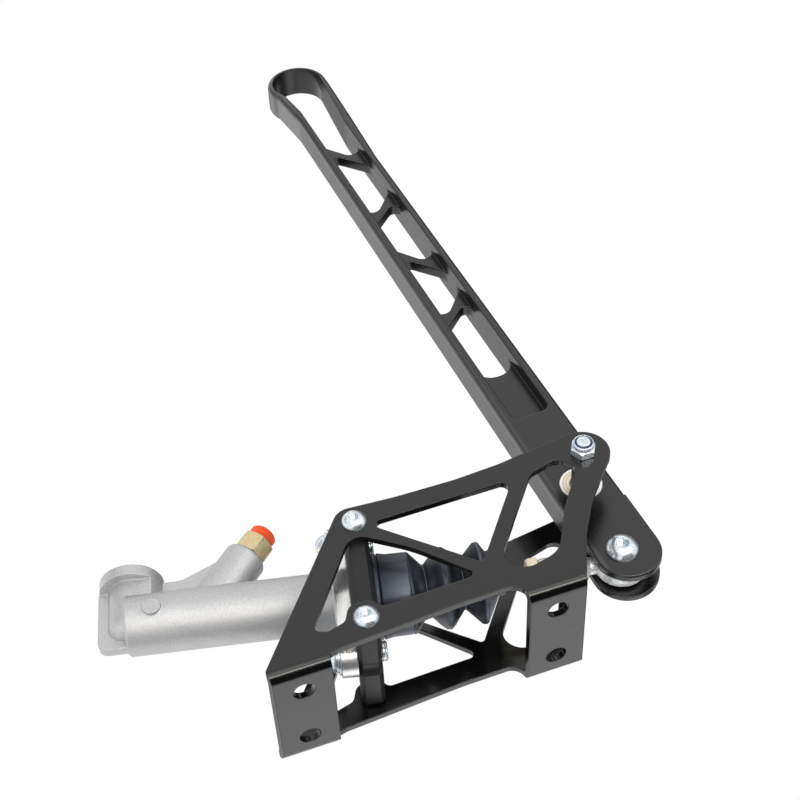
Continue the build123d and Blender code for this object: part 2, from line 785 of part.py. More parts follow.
with BuildPart() as cylinder_body:
    with BuildSketch(across_bore(body_front)):
        Circle(body_d / 2)
    extrude(amount=body_front)
    chamfer(cylinder_body.faces().sort_by(bore_axis)[0].edges(), 1.0)
    with BuildSketch(across_bore(flange_thickness)):
        add(
            outline(
                [
                    (-ear_radius, flange_bolt_pitch / 2, 0),
                    (-body_d / 2 - 1.5, 6, 10),
                    (-body_d / 2 - 1.5, -6, 10),
                    (-ear_radius, -flange_bolt_pitch / 2, 0),
                    (ear_radius, -flange_bolt_pitch / 2, 0),
                    (body_d / 2 + 1.5, -6, 10),
                    (body_d / 2 + 1.5, 6, 10),
                    (ear_radius, flange_bolt_pitch / 2, 0),
                ]
            )
        )
        with GridLocations(1, flange_bolt_pitch, 1, 2):
            Circle(ear_radius)
    extrude(amount=flange_thickness)
    with BuildSketch(across_bore(0)):
        Circle(spigot_d / 2)
    extrude(amount=spigot_length)
    # Inlet neck, its disc, and the flat web that runs from the disc round the closed end
    with Locations(neck_plane.offset(-neck_low)):
        add(round_post(neck_d, neck_low, neck_foot, 0))
    with BuildSketch(neck_plane):
        Circle(neck_d / 2)
        with Locations((disc_d / 4, 0)):
            Rectangle(disc_d / 2, neck_d)
        Circle(disc_d / 2 - 2 * slip, mode=Mode.INTERSECT)
    extrude(amount=disc_top - disc_thickness / 2)
    with BuildSketch(
        Plane(bore_plane.from_local_coords((-neck_forward, disc_top - disc_thickness, 0)), z_dir=bore_plane.y_dir)
    ):
        Circle(disc_d / 2)
    extrude(amount=disc_thickness)
    with BuildSketch(bore_plane):
        add(
            outline(
                [
                    (-web_forward, disc_top - disc_thickness, 0),
                    (-web_forward, -web_low, 4),
                    (-body_front + 2, -web_low, 0),
                    (-body_front + 2, disc_top - disc_thickness, 0),
                ]
            )
        )
        add(
            outline(
                [
                    (-neck_forward + 8, 8, 0),
                    (-neck_forward + 8, rib_low, 0),
                    (-71, rib_low, 12),
                    (-rib_rear, rib_high, 0),
                    (-rib_rear, 10, 0),
                ]
            )
        )
    extrude(amount=web_plate / 2, both=True)
    with Locations(port_plane):
        add(round_post(port_boss_d, port_length, 0, port_rim))
    with BuildSketch(facing(bore_plane.from_local_coords((-pad_forward, -pad_low, 0)), 0, -1)):
        Circle(pad_d / 2)
    extrude(amount=body_d / 2 + pad_rise)
    # Bore, its small front end, the inlet and the outlet, and the seats at its open end
    with BuildSketch(across_bore(bore_front)):
        Circle(bore_d / 2)
    extrude(amount=bore_front + spigot_length, mode=Mode.SUBTRACT)
    with BuildSketch(across_bore(neck_forward + passage_d)):
        Circle(passage_d)
    extrude(amount=neck_forward + passage_d - bore_front, mode=Mode.SUBTRACT)
    with BuildSketch(Plane(bore_plane.from_local_coords((-neck_forward, disc_top, 0)), z_dir=bore_plane.y_dir)):
        Circle(inlet_d / 2)
    extrude(amount=-inlet_depth, mode=Mode.SUBTRACT)
    with BuildSketch(Plane(bore_plane.from_local_coords((-neck_forward, disc_top, 0)), z_dir=bore_plane.y_dir)):
        Circle(passage_d / 2)
    extrude(amount=-disc_top, mode=Mode.SUBTRACT)
    with BuildSketch(port_plane.offset(port_length)):
        Circle(port_thread_d / 2)
    extrude(amount=-port_thread_depth, mode=Mode.SUBTRACT)
    with BuildSketch(port_plane):
        Circle(passage_d / 2)
    extrude(amount=port_length, mode=Mode.SUBTRACT)
    with BuildSketch(across_bore(-retainer_front)):
        Circle(retainer_d / 2 + slip)
    extrude(amount=spigot_length, mode=Mode.SUBTRACT)
    with BuildSketch(across_bore(-retainer_front - retainer_thickness)):
        Circle(retainer_d / 2 + circlip_bite + slip)
    extrude(amount=circlip_thickness + slip, mode=Mode.SUBTRACT)
    with BuildSketch(across_bore(flange_thickness)):
        with GridLocations(1, flange_bolt_pitch, 1, 2):
            Circle(flange_bolt_d / 2 + free_hole)
    extrude(amount=flange_thickness, mode=Mode.SUBTRACT)
save(cylinder_body.part, "cylinder_body")

with BuildPart() as flange_washers:
    with BuildSketch(across_bore(flange_thickness)):
        with GridLocations(1, flange_bolt_pitch, 1, 2):
            Circle(washer_d / 2)
            Circle(flange_bolt_d / 2 + free_hole, mode=Mode.SUBTRACT)
    extrude(amount=-washer_thickness)
save(flange_washers.part, "flange_washers")

with BuildPart() as flange_bolts:
    head_seat = flange_thickness + washer_thickness
    for side in (-1, 1):
        seat = bore_plane.from_local_coords((-head_seat, side * flange_bolt_pitch / 2, 0))
        with Locations(Plane(seat, x_dir=(0, 1, 0), z_dir=-bore_plane.x_dir)):
            add(button_screw(flange_bolt_d, head_seat + block_thickness + bolt_protrusion))
save(flange_bolts.part, "flange_bolts")

# Hose adapter in the outlet, and the plug that keeps it clean
with BuildPart() as outlet_adapter:
    with BuildSketch(port_plane.offset(port_length)):
        Circle(port_thread_d / 2 - slip)
    extrude(amount=-port_thread_depth + seat_gap)
    with Locations(port_plane.offset(port_length).location * Rotation(0, 0, 30)):
        add(hex_nut(adapter_bore_d - 2 * slip, adapter_flats, adapter_hex))
    with BuildSketch(port_plane.offset(port_length)):
        Circle(adapter_bore_d / 2 + slip)
    extrude(amount=adapter_floor)
    with BuildSketch(port_plane.offset(port_length - port_thread_depth)):
        Circle(passage_d / 2)
    extrude(amount=port_thread_depth + adapter_floor, mode=Mode.SUBTRACT)
save(outlet_adapter.part, "outlet_adapter")

with BuildPart() as transit_plug:
    with BuildSketch(port_plane.offset(port_length + adapter_hex)):
        Circle(plug_d / 2)
    extrude(amount=plug_height)
    chamfer(transit_plug.edges().sort_by(Axis(port_plane.origin, port_plane.z_dir))[-1], 0.8)
    with BuildSketch(port_plane.offset(port_length + adapter_hex)):
        Circle(adapter_bore_d / 2 - slip)
    extrude(amount=-(adapter_hex - adapter_floor - 1))
save(transit_plug.part, "transit_plug")


# Inside the bore
def turned(profile):
    """A solid turned about the bore from (along, radius) points."""
    with BuildPart() as solid:
        with BuildSketch(bore_plane):
            add(rings(profile))
        revolve(axis=bore_axis)
    return solid.part


bore_r = bore_d / 2
land_r = bore_r - piston_play
piston_nose = piston_rear - piston_length
with BuildPart() as piston:
    add(
        turned(
            [
                (piston_rear - dome_reach - axial_gap, 0),
                (piston_rear - dome_reach - axial_gap, recess_d / 2),
                (piston_rear, recess_d / 2),
                (piston_rear, land_r),
                (seal_rear, land_r),
                (seal_rear, land_r - seal_depth),
                (seal_rear - seal_width, land_r - seal_depth),
                (seal_rear - seal_width, land_r),
                (seal_rear - seal_width - 3, land_r),
                (seal_rear - seal_width - 4, waist_d / 2),
                (piston_nose + 5, waist_d / 2),
                (piston_nose + 4, land_r),
                (piston_nose, land_r),
                (piston_nose, stub_d / 2),
                (piston_nose - cup_length, stub_d / 2),
                (piston_nose - cup_length, 0),
            ]
        )
    )
save(piston.part, "piston")

with BuildPart() as primary_cup:
    add(
        turned(
            [
                (piston_nose, stub_d / 2 + slip),
                (piston_nose, land_r - 0.4),
                (piston_nose - 1.5, land_r),
                (piston_nose - cup_length + 0.5, land_r),
                (piston_nose - cup_length + 0.5, land_r - 1.2),
                (piston_nose - 2.5, land_r - 2.6),
                (piston_nose - 2.5, stub_d / 2 + slip),
            ]
        )
    )
save(primary_cup.part, "primary_cup")

with BuildPart() as secondary_seal:
    add(
        turned(
            [
                (seal_rear - slip, land_r - seal_depth + slip),
                (seal_rear - slip, land_r - 0.3),
                (seal_rear - seal_width / 2, land_r),
                (seal_rear - seal_width + slip, land_r - 0.3),
                (seal_rear - seal_width + slip, land_r - seal_depth + slip),
            ]
        )
    )
save(secondary_seal.part, "secondary_seal")

seat_front = piston_nose - cup_length - seat_thickness
with BuildPart() as spring_seat:
    add(
        turned(
            [
                (seat_front, 0),
                (seat_front, spring_d / 2 + spring_wire),
                (seat_front + seat_thickness, spring_d / 2 + spring_wire),
                (seat_front + seat_thickness, 0),
            ]
        )
    )
save(spring_seat.part, "spring_seat")

spring_front = -bore_front + spring_wire / 2
spring_rear = seat_front - spring_wire / 2
spring_length = spring_rear - spring_front
with BuildPart() as return_spring:
    with BuildLine() as coil:
        Helix(
            spring_length / spring_turns,
            spring_length,
            spring_d / 2,
            center=bore_plane.from_local_coords((spring_front, 0, 0)),
            direction=bore_plane.x_dir,
        )
    with BuildSketch(Plane(origin=coil.line @ 0, z_dir=coil.line % 0)):
        RegularPolygon(spring_wire / 2, 5)
    sweep(is_frenet=True)
save(return_spring.part, "return_spring")

with BuildPart() as retaining_washer:
    with BuildSketch(across_bore(-retainer_front)):
        Circle(retainer_d / 2)
        Circle(retainer_hole_d / 2, mode=Mode.SUBTRACT)
    extrude(amount=retainer_thickness)
save(retaining_washer.part, "retaining_washer")

with BuildPart() as circlip:
    with BuildSketch(across_bore(-retainer_front - retainer_thickness)):
        Circle(retainer_d / 2 + circlip_bite)
        Circle(retainer_d / 2 - 2.2, mode=Mode.SUBTRACT)
        with Locations((0, retainer_d / 2)):
            Rectangle(5, retainer_d, mode=Mode.SUBTRACT)
    extrude(amount=circlip_thickness)
save(circlip.part, "circlip")

# Boot: a base on the spigot, square to the bore, then two folds about the rod and a lip that grips it
fold_r = boot_d / 2 - 0.3
neck_r = boot_neck_d / 2
lip_r = push_rod_d / 2 + slip
base_inner_r = boot_d / 2 - boot_base_wall
bellows_r = boot_d / 2 - boot_ledge
shoulder = boot_shoulder - piston_rear
first_neck = shoulder + boot_cone
fold_pitch = (boot_end - boot_lip - boot_shoulder - boot_cone) / 2
with BuildPart() as boot:
    add(
        turned(
            [
                (boot_start, spigot_d / 2 + slip),
                (boot_start, boot_d / 2 + boot_ledge),
                (boot_start + boot_wall, boot_d / 2 + boot_ledge),
                (boot_start + boot_wall, boot_d / 2),
                (boot_shoulder, boot_d / 2),
                (boot_shoulder, base_inner_r),
                (spigot_length + seat_gap, base_inner_r),
                (spigot_length + seat_gap, spigot_d / 2 + slip),
            ]
        )
    )
    folds = [first_neck + (turn + 0.5) * fold_pitch for turn in range(2)]
    with BuildSketch(rod_plane):
        with BuildLine():
            Polyline(
                (shoulder - boot_ledge, bellows_r - boot_wall),
                (shoulder - boot_ledge, bellows_r),
                (shoulder, bellows_r),
                (first_neck, neck_r),
                (folds[0] - boot_ledge, fold_r),
                (folds[0] + boot_ledge, fold_r),
                (first_neck + fold_pitch, neck_r),
                (folds[1] - boot_ledge, fold_r),
                (folds[1] + boot_ledge, fold_r),
                (first_neck + 2 * fold_pitch, lip_r + 1.4 * boot_wall),
                (first_neck + 2 * fold_pitch + boot_lip, lip_r + boot_wall),
                (first_neck + 2 * fold_pitch + boot_lip, lip_r),
                (first_neck + 2 * fold_pitch - boot_ledge, lip_r),
                (folds[1], fold_r - 2 * boot_wall),
                (first_neck + fold_pitch, neck_r - boot_wall),
                (folds[0], fold_r - 2 * boot_wall),
                (first_neck, neck_r - boot_wall),
                close=True,
            )
        make_face()
    revolve(axis=rod_axis)
save(boot.part, "boot")
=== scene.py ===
import json
from math import acos, cos, pi, radians, sin, tan

import bpy
from mathutils import Matrix, Vector


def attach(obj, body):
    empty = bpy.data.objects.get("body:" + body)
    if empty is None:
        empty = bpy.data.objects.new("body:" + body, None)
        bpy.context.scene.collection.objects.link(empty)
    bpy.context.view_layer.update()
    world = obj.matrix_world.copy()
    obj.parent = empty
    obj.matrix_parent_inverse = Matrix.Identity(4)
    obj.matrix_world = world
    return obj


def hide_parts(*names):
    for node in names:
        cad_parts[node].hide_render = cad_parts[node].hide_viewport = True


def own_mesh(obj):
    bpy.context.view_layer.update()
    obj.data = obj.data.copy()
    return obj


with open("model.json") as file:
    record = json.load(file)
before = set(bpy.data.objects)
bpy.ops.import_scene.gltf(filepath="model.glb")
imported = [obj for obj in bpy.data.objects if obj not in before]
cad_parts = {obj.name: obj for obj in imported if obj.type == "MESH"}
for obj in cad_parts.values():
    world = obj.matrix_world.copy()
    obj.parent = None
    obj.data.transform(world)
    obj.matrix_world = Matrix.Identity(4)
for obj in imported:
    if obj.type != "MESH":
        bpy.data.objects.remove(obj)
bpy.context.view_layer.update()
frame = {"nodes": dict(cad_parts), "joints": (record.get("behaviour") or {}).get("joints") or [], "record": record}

MM = 0.001

# The photograph's camera, in the object's frame: metres, and pixels of the square picture
PICTURE_PX = 800
FOCAL_PX = 1586.1
SENSOR_MM = 36.0
CAMERA_AT = Vector((-0.11983, -0.53556, -0.35265))
CAMERA_RIGHT = Vector((0.94014, 0.03891, -0.33856))
CAMERA_DOWN = Vector((-0.26708, 0.70117, -0.66108))
CAMERA_LOOK = Vector((0.21167, 0.71194, 0.66959))

SIDEWAYS = Vector((0.0, 1.0, 0.0))
UP = Vector((0.0, 0.0, 1.0))

# Places and sizes of the CAD model that the added pieces and the finishes need, in millimetres
JOINTS = {joint["name"]: joint for joint in frame["joints"]}
PIVOT = Vector(JOINTS["lever_pivot"]["pos_m"]) / MM
BORE_ORIGIN = Vector((-20.22, 0.0, 47.298))
BORE_AXIS = Vector((0.97437, 0.0, -0.22495))
ROD_ORIGIN = Vector((-11.451, 0.0, 45.273))
ROD_AXIS = Vector((0.98062, 0.0, -0.19591))
SPRING_START = -84.3
SPRING_END = -31.7
SPRING_TURNS = 6
SPRING_RADIUS = 7.0
SPRING_WIRE_RADIUS = 0.7
BLOCK_THICKNESS = 10.0
FLANGE_THICKNESS = 7.0
FLANGE_BOLT_PITCH = 56.0
LEVER_LEAN = radians(3.9)
LEVER_ACROSS = Vector((cos(LEVER_LEAN), 0.0, sin(LEVER_LEAN)))
BLADE_HALF = 13.5

EDGE_BREAK = 0.35
BOOT_SAG = 0.6
FLOOR_Z = -1.4
FLOOR_HALF = 3.0


def camera():
    """The camera that took the photograph, looking up at the lever from below its feet."""
    data = bpy.data.cameras.new("camera")
    data.sensor_width = SENSOR_MM
    data.lens = FOCAL_PX / PICTURE_PX * SENSOR_MM
    data.clip_start = 0.01
    obj = bpy.data.objects.new("camera", data)
    bpy.context.collection.objects.link(obj)
    axes = Matrix((CAMERA_RIGHT, -CAMERA_DOWN, -CAMERA_LOOK)).transposed().to_4x4()
    obj.matrix_world = Matrix.Translation(CAMERA_AT) @ axes
    bpy.context.scene.camera = obj


# Material graphs
class Nodes:
    """A node tree, built one node at a time."""

    def __init__(self, tree):
        self.tree = tree

    def node(self, kind, **settings):
        made = self.tree.nodes.new("ShaderNode" + kind)
        for key, value in settings.items():
            setattr(made, key, value)
        return made

    def link(self, source, target):
        self.tree.links.new(source, target)

    def math(self, operation, first, second=None):
        """first and second are sockets or numbers."""
        made = self.node("Math", operation=operation)
        for slot, value in zip(made.inputs, (first, second)):
            if value is None:
                continue
            if isinstance(value, (int, float)):
                slot.default_value = value
            else:
                self.link(value, slot)
        return made.outputs[0]

    def vector(self, operation, value, fixed=None):
        """A vector calculation on a socket and, where it needs one, a fixed vector."""
        made = self.node("VectorMath", operation=operation)
        self.link(value, made.inputs[0])
        if fixed is not None:
            made.inputs[1].default_value = fixed
        return made.outputs

    def along(self, value, direction):
        """How far a vector reaches along a fixed direction."""
        return self.vector("DOT_PRODUCT", value, direction)["Value"]

    def span(self, value, low, high, from_low=0.0, from_high=1.0, smooth=False):
        """value, stretched from one range to another."""
        made = self.node("MapRange")
        if smooth:
            made.interpolation_type = "SMOOTHSTEP"
        made.inputs["From Min"].default_value = from_low
        made.inputs["From Max"].default_value = from_high
        made.inputs["To Min"].default_value = low
        made.inputs["To Max"].default_value = high
        self.link(value, made.inputs["Value"])
        return made.outputs["Result"]

    def blend(self, factor, first, second):
        """A number between two; first is a socket, second a number."""
        made = self.node("Mix", data_type="FLOAT")
        self.link(factor, made.inputs["Factor"])
        self.link(first, made.inputs["A"])
        made.inputs["B"].default_value = second
        return made.outputs["Result"]

    def mix(self, factor, first, second):
        """A colour between two; each is a socket or three numbers."""
        made = self.node("Mix", data_type="RGBA")
        self.link(factor, made.inputs["Factor"])
        for name, value in (("A", first), ("B", second)):
            if isinstance(value, tuple):
                made.inputs[name].default_value = (*value, 1.0)
            else:
                self.link(value, made.inputs[name])
        return made.outputs["Result"]


class Graph(Nodes):
    """A material's node graph."""

    def __init__(self, name):
        self.material = bpy.data.materials.new(name)
        self.material.use_nodes = True
        super().__init__(self.material.node_tree)
        self.shader = self.tree.nodes["Principled BSDF"]

    def place(self):
        """Where a point lies in the object's own space, in metres."""
        return self.node("TexCoord").outputs["Object"]

    def from_pivot(self):
        """Where a point lies from the lever's pivot, in metres."""
        return self.vector("SUBTRACT", self.place(), MM * PIVOT)[0]

    def noise(self, scale, detail=4.0, roughness=0.55, stretch=None):
        """Noise in the object's own space; scale is features per metre."""
        made = self.node("TexNoise")
        made.inputs["Scale"].default_value = scale
        made.inputs["Detail"].default_value = detail
        made.inputs["Roughness"].default_value = roughness
        where = self.place()
        if stretch is not None:
            where = self.vector("MULTIPLY", where, stretch)[0]
        self.link(where, made.inputs["Vector"])
        return made.outputs["Fac"]

    def broken_edges(self, radius):
        """Normals as if every sharp edge were rounded by a radius in millimetres."""
        made = self.node("Bevel", samples=8)
        made.inputs["Radius"].default_value = radius * MM
        return made.outputs["Normal"]

    def bump(self, height, depth, normal=None):
        """Surface relief of a depth in millimetres."""
        made = self.node("Bump")
        made.inputs["Strength"].default_value = 1.0
        made.inputs["Distance"].default_value = depth * MM
        self.link(height, made.inputs["Height"])
        if normal is not None:
            self.link(normal, made.inputs["Normal"])
        return made.outputs["Normal"]

    def wire(self, **sockets):
        """Links outputs to the shader's sockets."""
        for key, value in sockets.items():
            self.link(value, self.shader.inputs[key.replace("_", " ")])

    def set(self, **values):
        """Plain numbers and colours on the shader's own sockets."""
        for key, value in values.items():
            self.shader.inputs[key.replace("_", " ")].default_value = value


def shaded(colour, factor):
    """A colour made lighter or darker, up to full."""
    return tuple(min(1.0, factor * channel) for channel in colour)


# Finishes: colours are linear, and every edge, peel and relief is in millimetres
def black_finish(name, shade, roughness, edge, peel):
    """Gloss black paint or anodising: a fine orange peel, faint patches in gloss, softened edges."""
    graph = Graph(name)
    patches = graph.noise(scale=60, detail=3.0)
    fine = graph.noise(scale=2600, detail=2.0)
    uneven = graph.noise(scale=350)
    graph.wire(
        Base_Color=graph.mix(patches, shaded(shade, 0.8), shaded(shade, 1.2)),
        Roughness=graph.span(uneven, roughness - 0.03, roughness + 0.04, from_low=0.3, from_high=0.7),
        Normal=graph.bump(fine, peel, graph.broken_edges(edge)),
    )
    return graph


def bracket_paint():
    """The bracket's smooth gloss paint."""
    graph = black_finish("bracket_paint", (0.0035, 0.0033, 0.0033), roughness=0.17, edge=0.7, peel=0.003)
    graph.set(IOR=1.5)
    return graph.material


def lever_black():
    """The lever's satin black, with a painted highlight: a higher IOR makes it reflect more along the blade's edge
    on the cylinder's side.
    """
    face_ior = 1.53
    painted_highlight_ior = 1.8
    graph = black_finish("lever_black", (0.0045, 0.0045, 0.0047), roughness=0.26, edge=1.1, peel=0.006)
    across = graph.math("DIVIDE", graph.along(graph.from_pivot(), LEVER_ACROSS), MM)
    # Painted highlight: the higher IOR brightens the reflection along the blade's edge on the cylinder's side
    graph.wire(IOR=graph.span(across, painted_highlight_ior, face_ior, 0.6 - BLADE_HALF, 2.2 - BLADE_HALF))
    return graph.material


def block_black():
    """The block's duller black."""
    graph = black_finish("block_black", (0.0045, 0.005, 0.0062), roughness=0.42, edge=0.4, peel=0.006)
    graph.set(IOR=1.42)
    return graph.material


def cast_aluminium():
    """Sandblasted casting, pale and grainy, with the flange's edge machined bright."""
    graph = Graph("cast_aluminium")
    grain = graph.noise(scale=1500, roughness=0.7)
    patches = graph.noise(scale=70)
    forward = graph.math("DIVIDE", graph.along(graph.place(), BORE_AXIS), MM)
    flange_back = BORE_ORIGIN.dot(BORE_AXIS) - FLANGE_THICKNESS
    fade = 0.4
    flange = graph.span(forward, 0, 1, flange_back - fade, flange_back + fade)
    speckle = graph.span(grain, 0, 1, from_low=0.3, from_high=0.7)
    cast = graph.mix(speckle, (0.405, 0.407, 0.413), (0.58, 0.583, 0.59))
    machined_roughness = 0.24
    graph.wire(
        Base_Color=graph.mix(flange, cast, (0.80, 0.79, 0.78)),
        Roughness=graph.blend(flange, graph.span(patches, 0.5, 0.6), machined_roughness),
        Normal=graph.bump(grain, 0.06, graph.broken_edges(2 * EDGE_BREAK)),
    )
    graph.set(Metallic=0.88)
    return graph.material


def plated(name, light, dark, roughness, relief, metallic):
    """Plated or turned metal: bright with fine marks."""
    graph = Graph(name)
    marks = graph.noise(scale=900, detail=5.0, roughness=0.65)
    streaks = graph.span(marks, 0, 1, from_low=0.35, from_high=0.65)
    graph.wire(
        Base_Color=graph.mix(streaks, dark, light),
        Roughness=graph.span(marks, roughness - 0.05, roughness + 0.08),
        Normal=graph.bump(marks, relief, graph.broken_edges(EDGE_BREAK)),
    )
    graph.set(Metallic=metallic)
    return graph.material


def ringed(name, shade, rings):
    """A bearing's face: each ring, as (outer radius, colour), about the lever's pivot; the dark rings are painted
    shade.
    """
    graph = Graph(name)
    flat = graph.vector("MULTIPLY", graph.from_pivot(), (1.0, 0.0, 1.0))[0]
    radius = graph.math("DIVIDE", graph.vector("LENGTH", flat)["Value"], MM)
    fade = 0.12
    colour = shade
    for edge, within in rings:
        inside = graph.span(radius, 1, 0, edge - fade, edge + fade)
        colour = graph.mix(inside, colour, within)
    graph.wire(Base_Color=colour, Normal=graph.broken_edges(EDGE_BREAK))
    graph.set(Metallic=0.7, Roughness=0.3)
    return graph.material


def moulded(name, shade, roughness):
    """Moulded plastic with a faint texture."""
    graph = Graph(name)
    fine = graph.noise(scale=1800, detail=3.0)
    graph.wire(
        Base_Color=graph.mix(fine, shaded(shade, 0.9), shaded(shade, 1.08)),
        Normal=graph.bump(fine, 0.02, graph.broken_edges(EDGE_BREAK)),
    )
    graph.set(Roughness=roughness, IOR=1.44)
    return graph.material


def rubber():
    """Boot rubber: blue-black, lightened by a dusty colour and a stronger reflection where the mesh marks dusty
    bloom and painted highlight.
    """
    graph = Graph("rubber")
    bloom = graph.noise(scale=240, detail=6.0, roughness=0.6)
    streaks = graph.noise(scale=300, roughness=0.6, stretch=(0.25, 1.0, 1.0))
    # The mesh's per-point value marks dusty bloom and painted highlight; where it is high, the colour is lighter
    # and the reflection stronger
    dust_and_highlight_level = graph.node("Attribute", attribute_name="dust_and_highlight").outputs["Fac"]
    streaked = graph.span(streaks, 0, 1, from_low=0.4, from_high=0.7)
    skin = graph.mix(streaked, (0.0035, 0.004, 0.0055), (0.010, 0.0115, 0.0145))
    dust_and_highlight_colour = graph.mix(bloom, (0.09, 0.095, 0.105), (0.22, 0.23, 0.245))
    graph.wire(
        Base_Color=graph.mix(dust_and_highlight_level, skin, dust_and_highlight_colour),
        Roughness=graph.span(bloom, 0.34, 0.5),
        Specular_IOR_Level=graph.span(dust_and_highlight_level, 0.18, 1.25, from_high=0.2),
        Normal=graph.bump(graph.noise(scale=1200), 0.03),
    )
    graph.set(IOR=1.45, Specular_Tint=(0.78, 0.9, 1.15, 1.0))
    return graph.material


def bearing_steel():
    """Ground steel: a bright outer ring, a dark ring of painted shade in the gap under the shields, and a duller
    inner ring.
    """
    # The dark ring is painted shade, standing for the shadowed gap under the shields
    painted_recess_shade = (8.05, (0.2, 0.19, 0.17))
    inner_ring = (5.6, (0.7, 0.69, 0.66))
    return ringed("bearing_steel", (0.86, 0.85, 0.81), [painted_recess_shade, inner_ring])


def yellow_zinc():
    """Yellow zinc of the jam nut and the shields; the shields carry painted shade, a dark line at their step and a
    dark ring at their inner edge.
    """
    # The step's dark line and the inner edge's dark ring are painted shade; the face between them is the shields'
    # own colour
    step = (6.9, (0.5, 0.43, 0.3))
    face = (6.5, (0.8, 0.72, 0.55))
    painted_inner_shadow = (5.2, (0.16, 0.14, 0.1))
    return ringed("yellow_zinc", (0.86, 0.78, 0.6), [step, face, painted_inner_shadow])


def zinc_steel():
    """The bright blue-white zinc of the screws and nuts."""
    return plated(
        "zinc_steel",
        light=(0.78, 0.83, 0.87),
        dark=(0.5, 0.57, 0.62),
        roughness=0.25,
        relief=0.012,
        metallic=0.8,
    )


def dull_zinc():
    """The rod end's duller zinc."""
    return plated(
        "zinc_dull",
        light=(0.9, 0.91, 0.91),
        dark=(0.55, 0.57, 0.58),
        roughness=0.42,
        relief=0.05,
        metallic=0.6,
    )


def brass():
    """Turned brass of the hose adapter."""
    return plated(
        "brass",
        light=(0.66, 0.54, 0.31),
        dark=(0.54, 0.43, 0.23),
        roughness=0.17,
        relief=0.004,
        metallic=0.9,
    )


def piston_alloy():
    """Anodised alloy of the piston."""
    return plated(
        "piston_alloy",
        light=(0.62, 0.6, 0.52),
        dark=(0.5, 0.48, 0.42),
        roughness=0.3,
        relief=0.004,
        metallic=0.75,
    )


def finishes():
    """One material for each of the record's slots."""
    return {
        "bracket_paint": bracket_paint(),
        "lever_black": lever_black(),
        "block_black": block_black(),
        "cast_aluminium": cast_aluminium(),
        "zinc_steel": zinc_steel(),
        "bearing_steel": bearing_steel(),
        "yellow_zinc": yellow_zinc(),
        "brass": brass(),
        "piston_alloy": piston_alloy(),
        "orange_plastic": moulded("orange_plastic", (1.0, 0.1, 0.018), roughness=0.5),
        "blue_nylon": moulded("blue_nylon", (0.03, 0.06, 0.18), roughness=0.35),
        "rubber": rubber(),
    }


def dress_nodes(materials):
    """Gives every CAD node its slot's material; the rod end's zinc is duller than the screws'."""
    own = {"rod_end": dull_zinc()}
    slots = {part["node"]: part["material_slot"] for part in frame["record"]["subparts"]}
    for name, obj in frame["nodes"].items():
        obj.data.materials.clear()
        obj.data.materials.append(own.get(name) or materials[slots[name]])


# Meshes, in millimetres until new_piece writes them in metres
def new_piece(name, verts, faces, material):
    """A smooth mesh object of one material."""
    mesh = bpy.data.meshes.new(name)
    mesh.from_pydata([tuple(MM * coordinate for coordinate in vert) for vert in verts], [], faces)
    mesh.polygons.foreach_set("use_smooth", [True] * len(mesh.polygons))
    mesh.materials.append(material)
    obj = bpy.data.objects.new(name, mesh)
    bpy.context.collection.objects.link(obj)
    return obj


def rounded(corners, steps=6):
    """Points of a closed line whose corners, given as (x, y, radius, lightening for dusty bloom and painted
    highlight), are turned into arcs.
    """
    points = []
    count = len(corners)
    for number, (x, y, radius, dust_and_highlight) in enumerate(corners):
        if radius <= 0:
            points.append((x, y, dust_and_highlight))
            continue
        here = Vector((x, y))
        before = (Vector(corners[number - 1][:2]) - here).normalized()
        after = (Vector(corners[(number + 1) % count][:2]) - here).normalized()
        half = acos(before.dot(after)) / 2
        centre = here + (before + after).normalized() * (radius / sin(half))
        start = here + before * (radius / tan(half)) - centre
        end = here + after * (radius / tan(half)) - centre
        for step in range(steps + 1):
            ray = start.slerp(end, step / steps)
            points.append((centre.x + ray.x, centre.y + ray.y, dust_and_highlight))
    return points


def lathe(name, origin, axis, profile, material, turns=96, sag=0.0):
    """A closed profile of (along, radius, lightening for dusty bloom and painted highlight) points, turned about
    an axis; wide rings sag.
    """
    firm_radius = 11
    full_sag_radius = 18
    upward = axis.cross(SIDEWAYS)
    verts = []
    faces = []
    size = len(profile)
    for turn in range(turns):
        angle = 2 * pi * turn / turns
        ray = SIDEWAYS * cos(angle) + upward * sin(angle)
        for forward, radius, _ in profile:
            drop = sag * max(0.0, radius - firm_radius) / (full_sag_radius - firm_radius)
            verts.append(origin + axis * forward + ray * radius - UP * drop)
        here = turn * size
        after = (turn + 1) % turns * size
        for first in range(size):
            second = (first + 1) % size
            faces.append((here + first, after + first, after + second, here + second))
    obj = new_piece(name, verts, faces, material)
    attribute = obj.data.attributes.new("dust_and_highlight", "FLOAT", "POINT")
    attribute.data.foreach_set("value", [dust_and_highlight for _, _, dust_and_highlight in profile] * turns)
    return obj


def boot_base(material):
    """The boot's straight part, on the cylinder's spigot, with a lip against the block."""
    spigot_radius = 14.3
    wall_inner_radius = 15.2
    wall_radius = 17.55
    lip_radius = 18.0
    groove_radius = 17.35
    back = BLOCK_THICKNESS + 0.3
    # Each corner's last number lightens the rubber: painted highlight along the base and its lip, with dusty bloom
    corners = [
        (back, spigot_radius, 0, 0.0),
        (back, lip_radius, 0.5, 0.1),
        (11.8, lip_radius, 0.5, 0.1),
        (12.1, groove_radius, 0.2, 0.0),
        (12.9, groove_radius, 0.2, 0.0),
        (13.2, wall_radius, 0.3, 0.04),
        (16.5, wall_radius, 0.0, 0.08),
        (24.9, wall_radius, 1.1, 0.2),
        (25.6, 16.6, 0.2, 0.0),
        (25.2, wall_inner_radius, 0, 0.0),
        (18.3, wall_inner_radius, 0, 0.0),
        (18.3, spigot_radius, 0, 0.0),
    ]
    base = lathe("boot_base", BORE_ORIGIN, BORE_AXIS, rounded(corners), material)
    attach(base, "frame")
    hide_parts("boot")


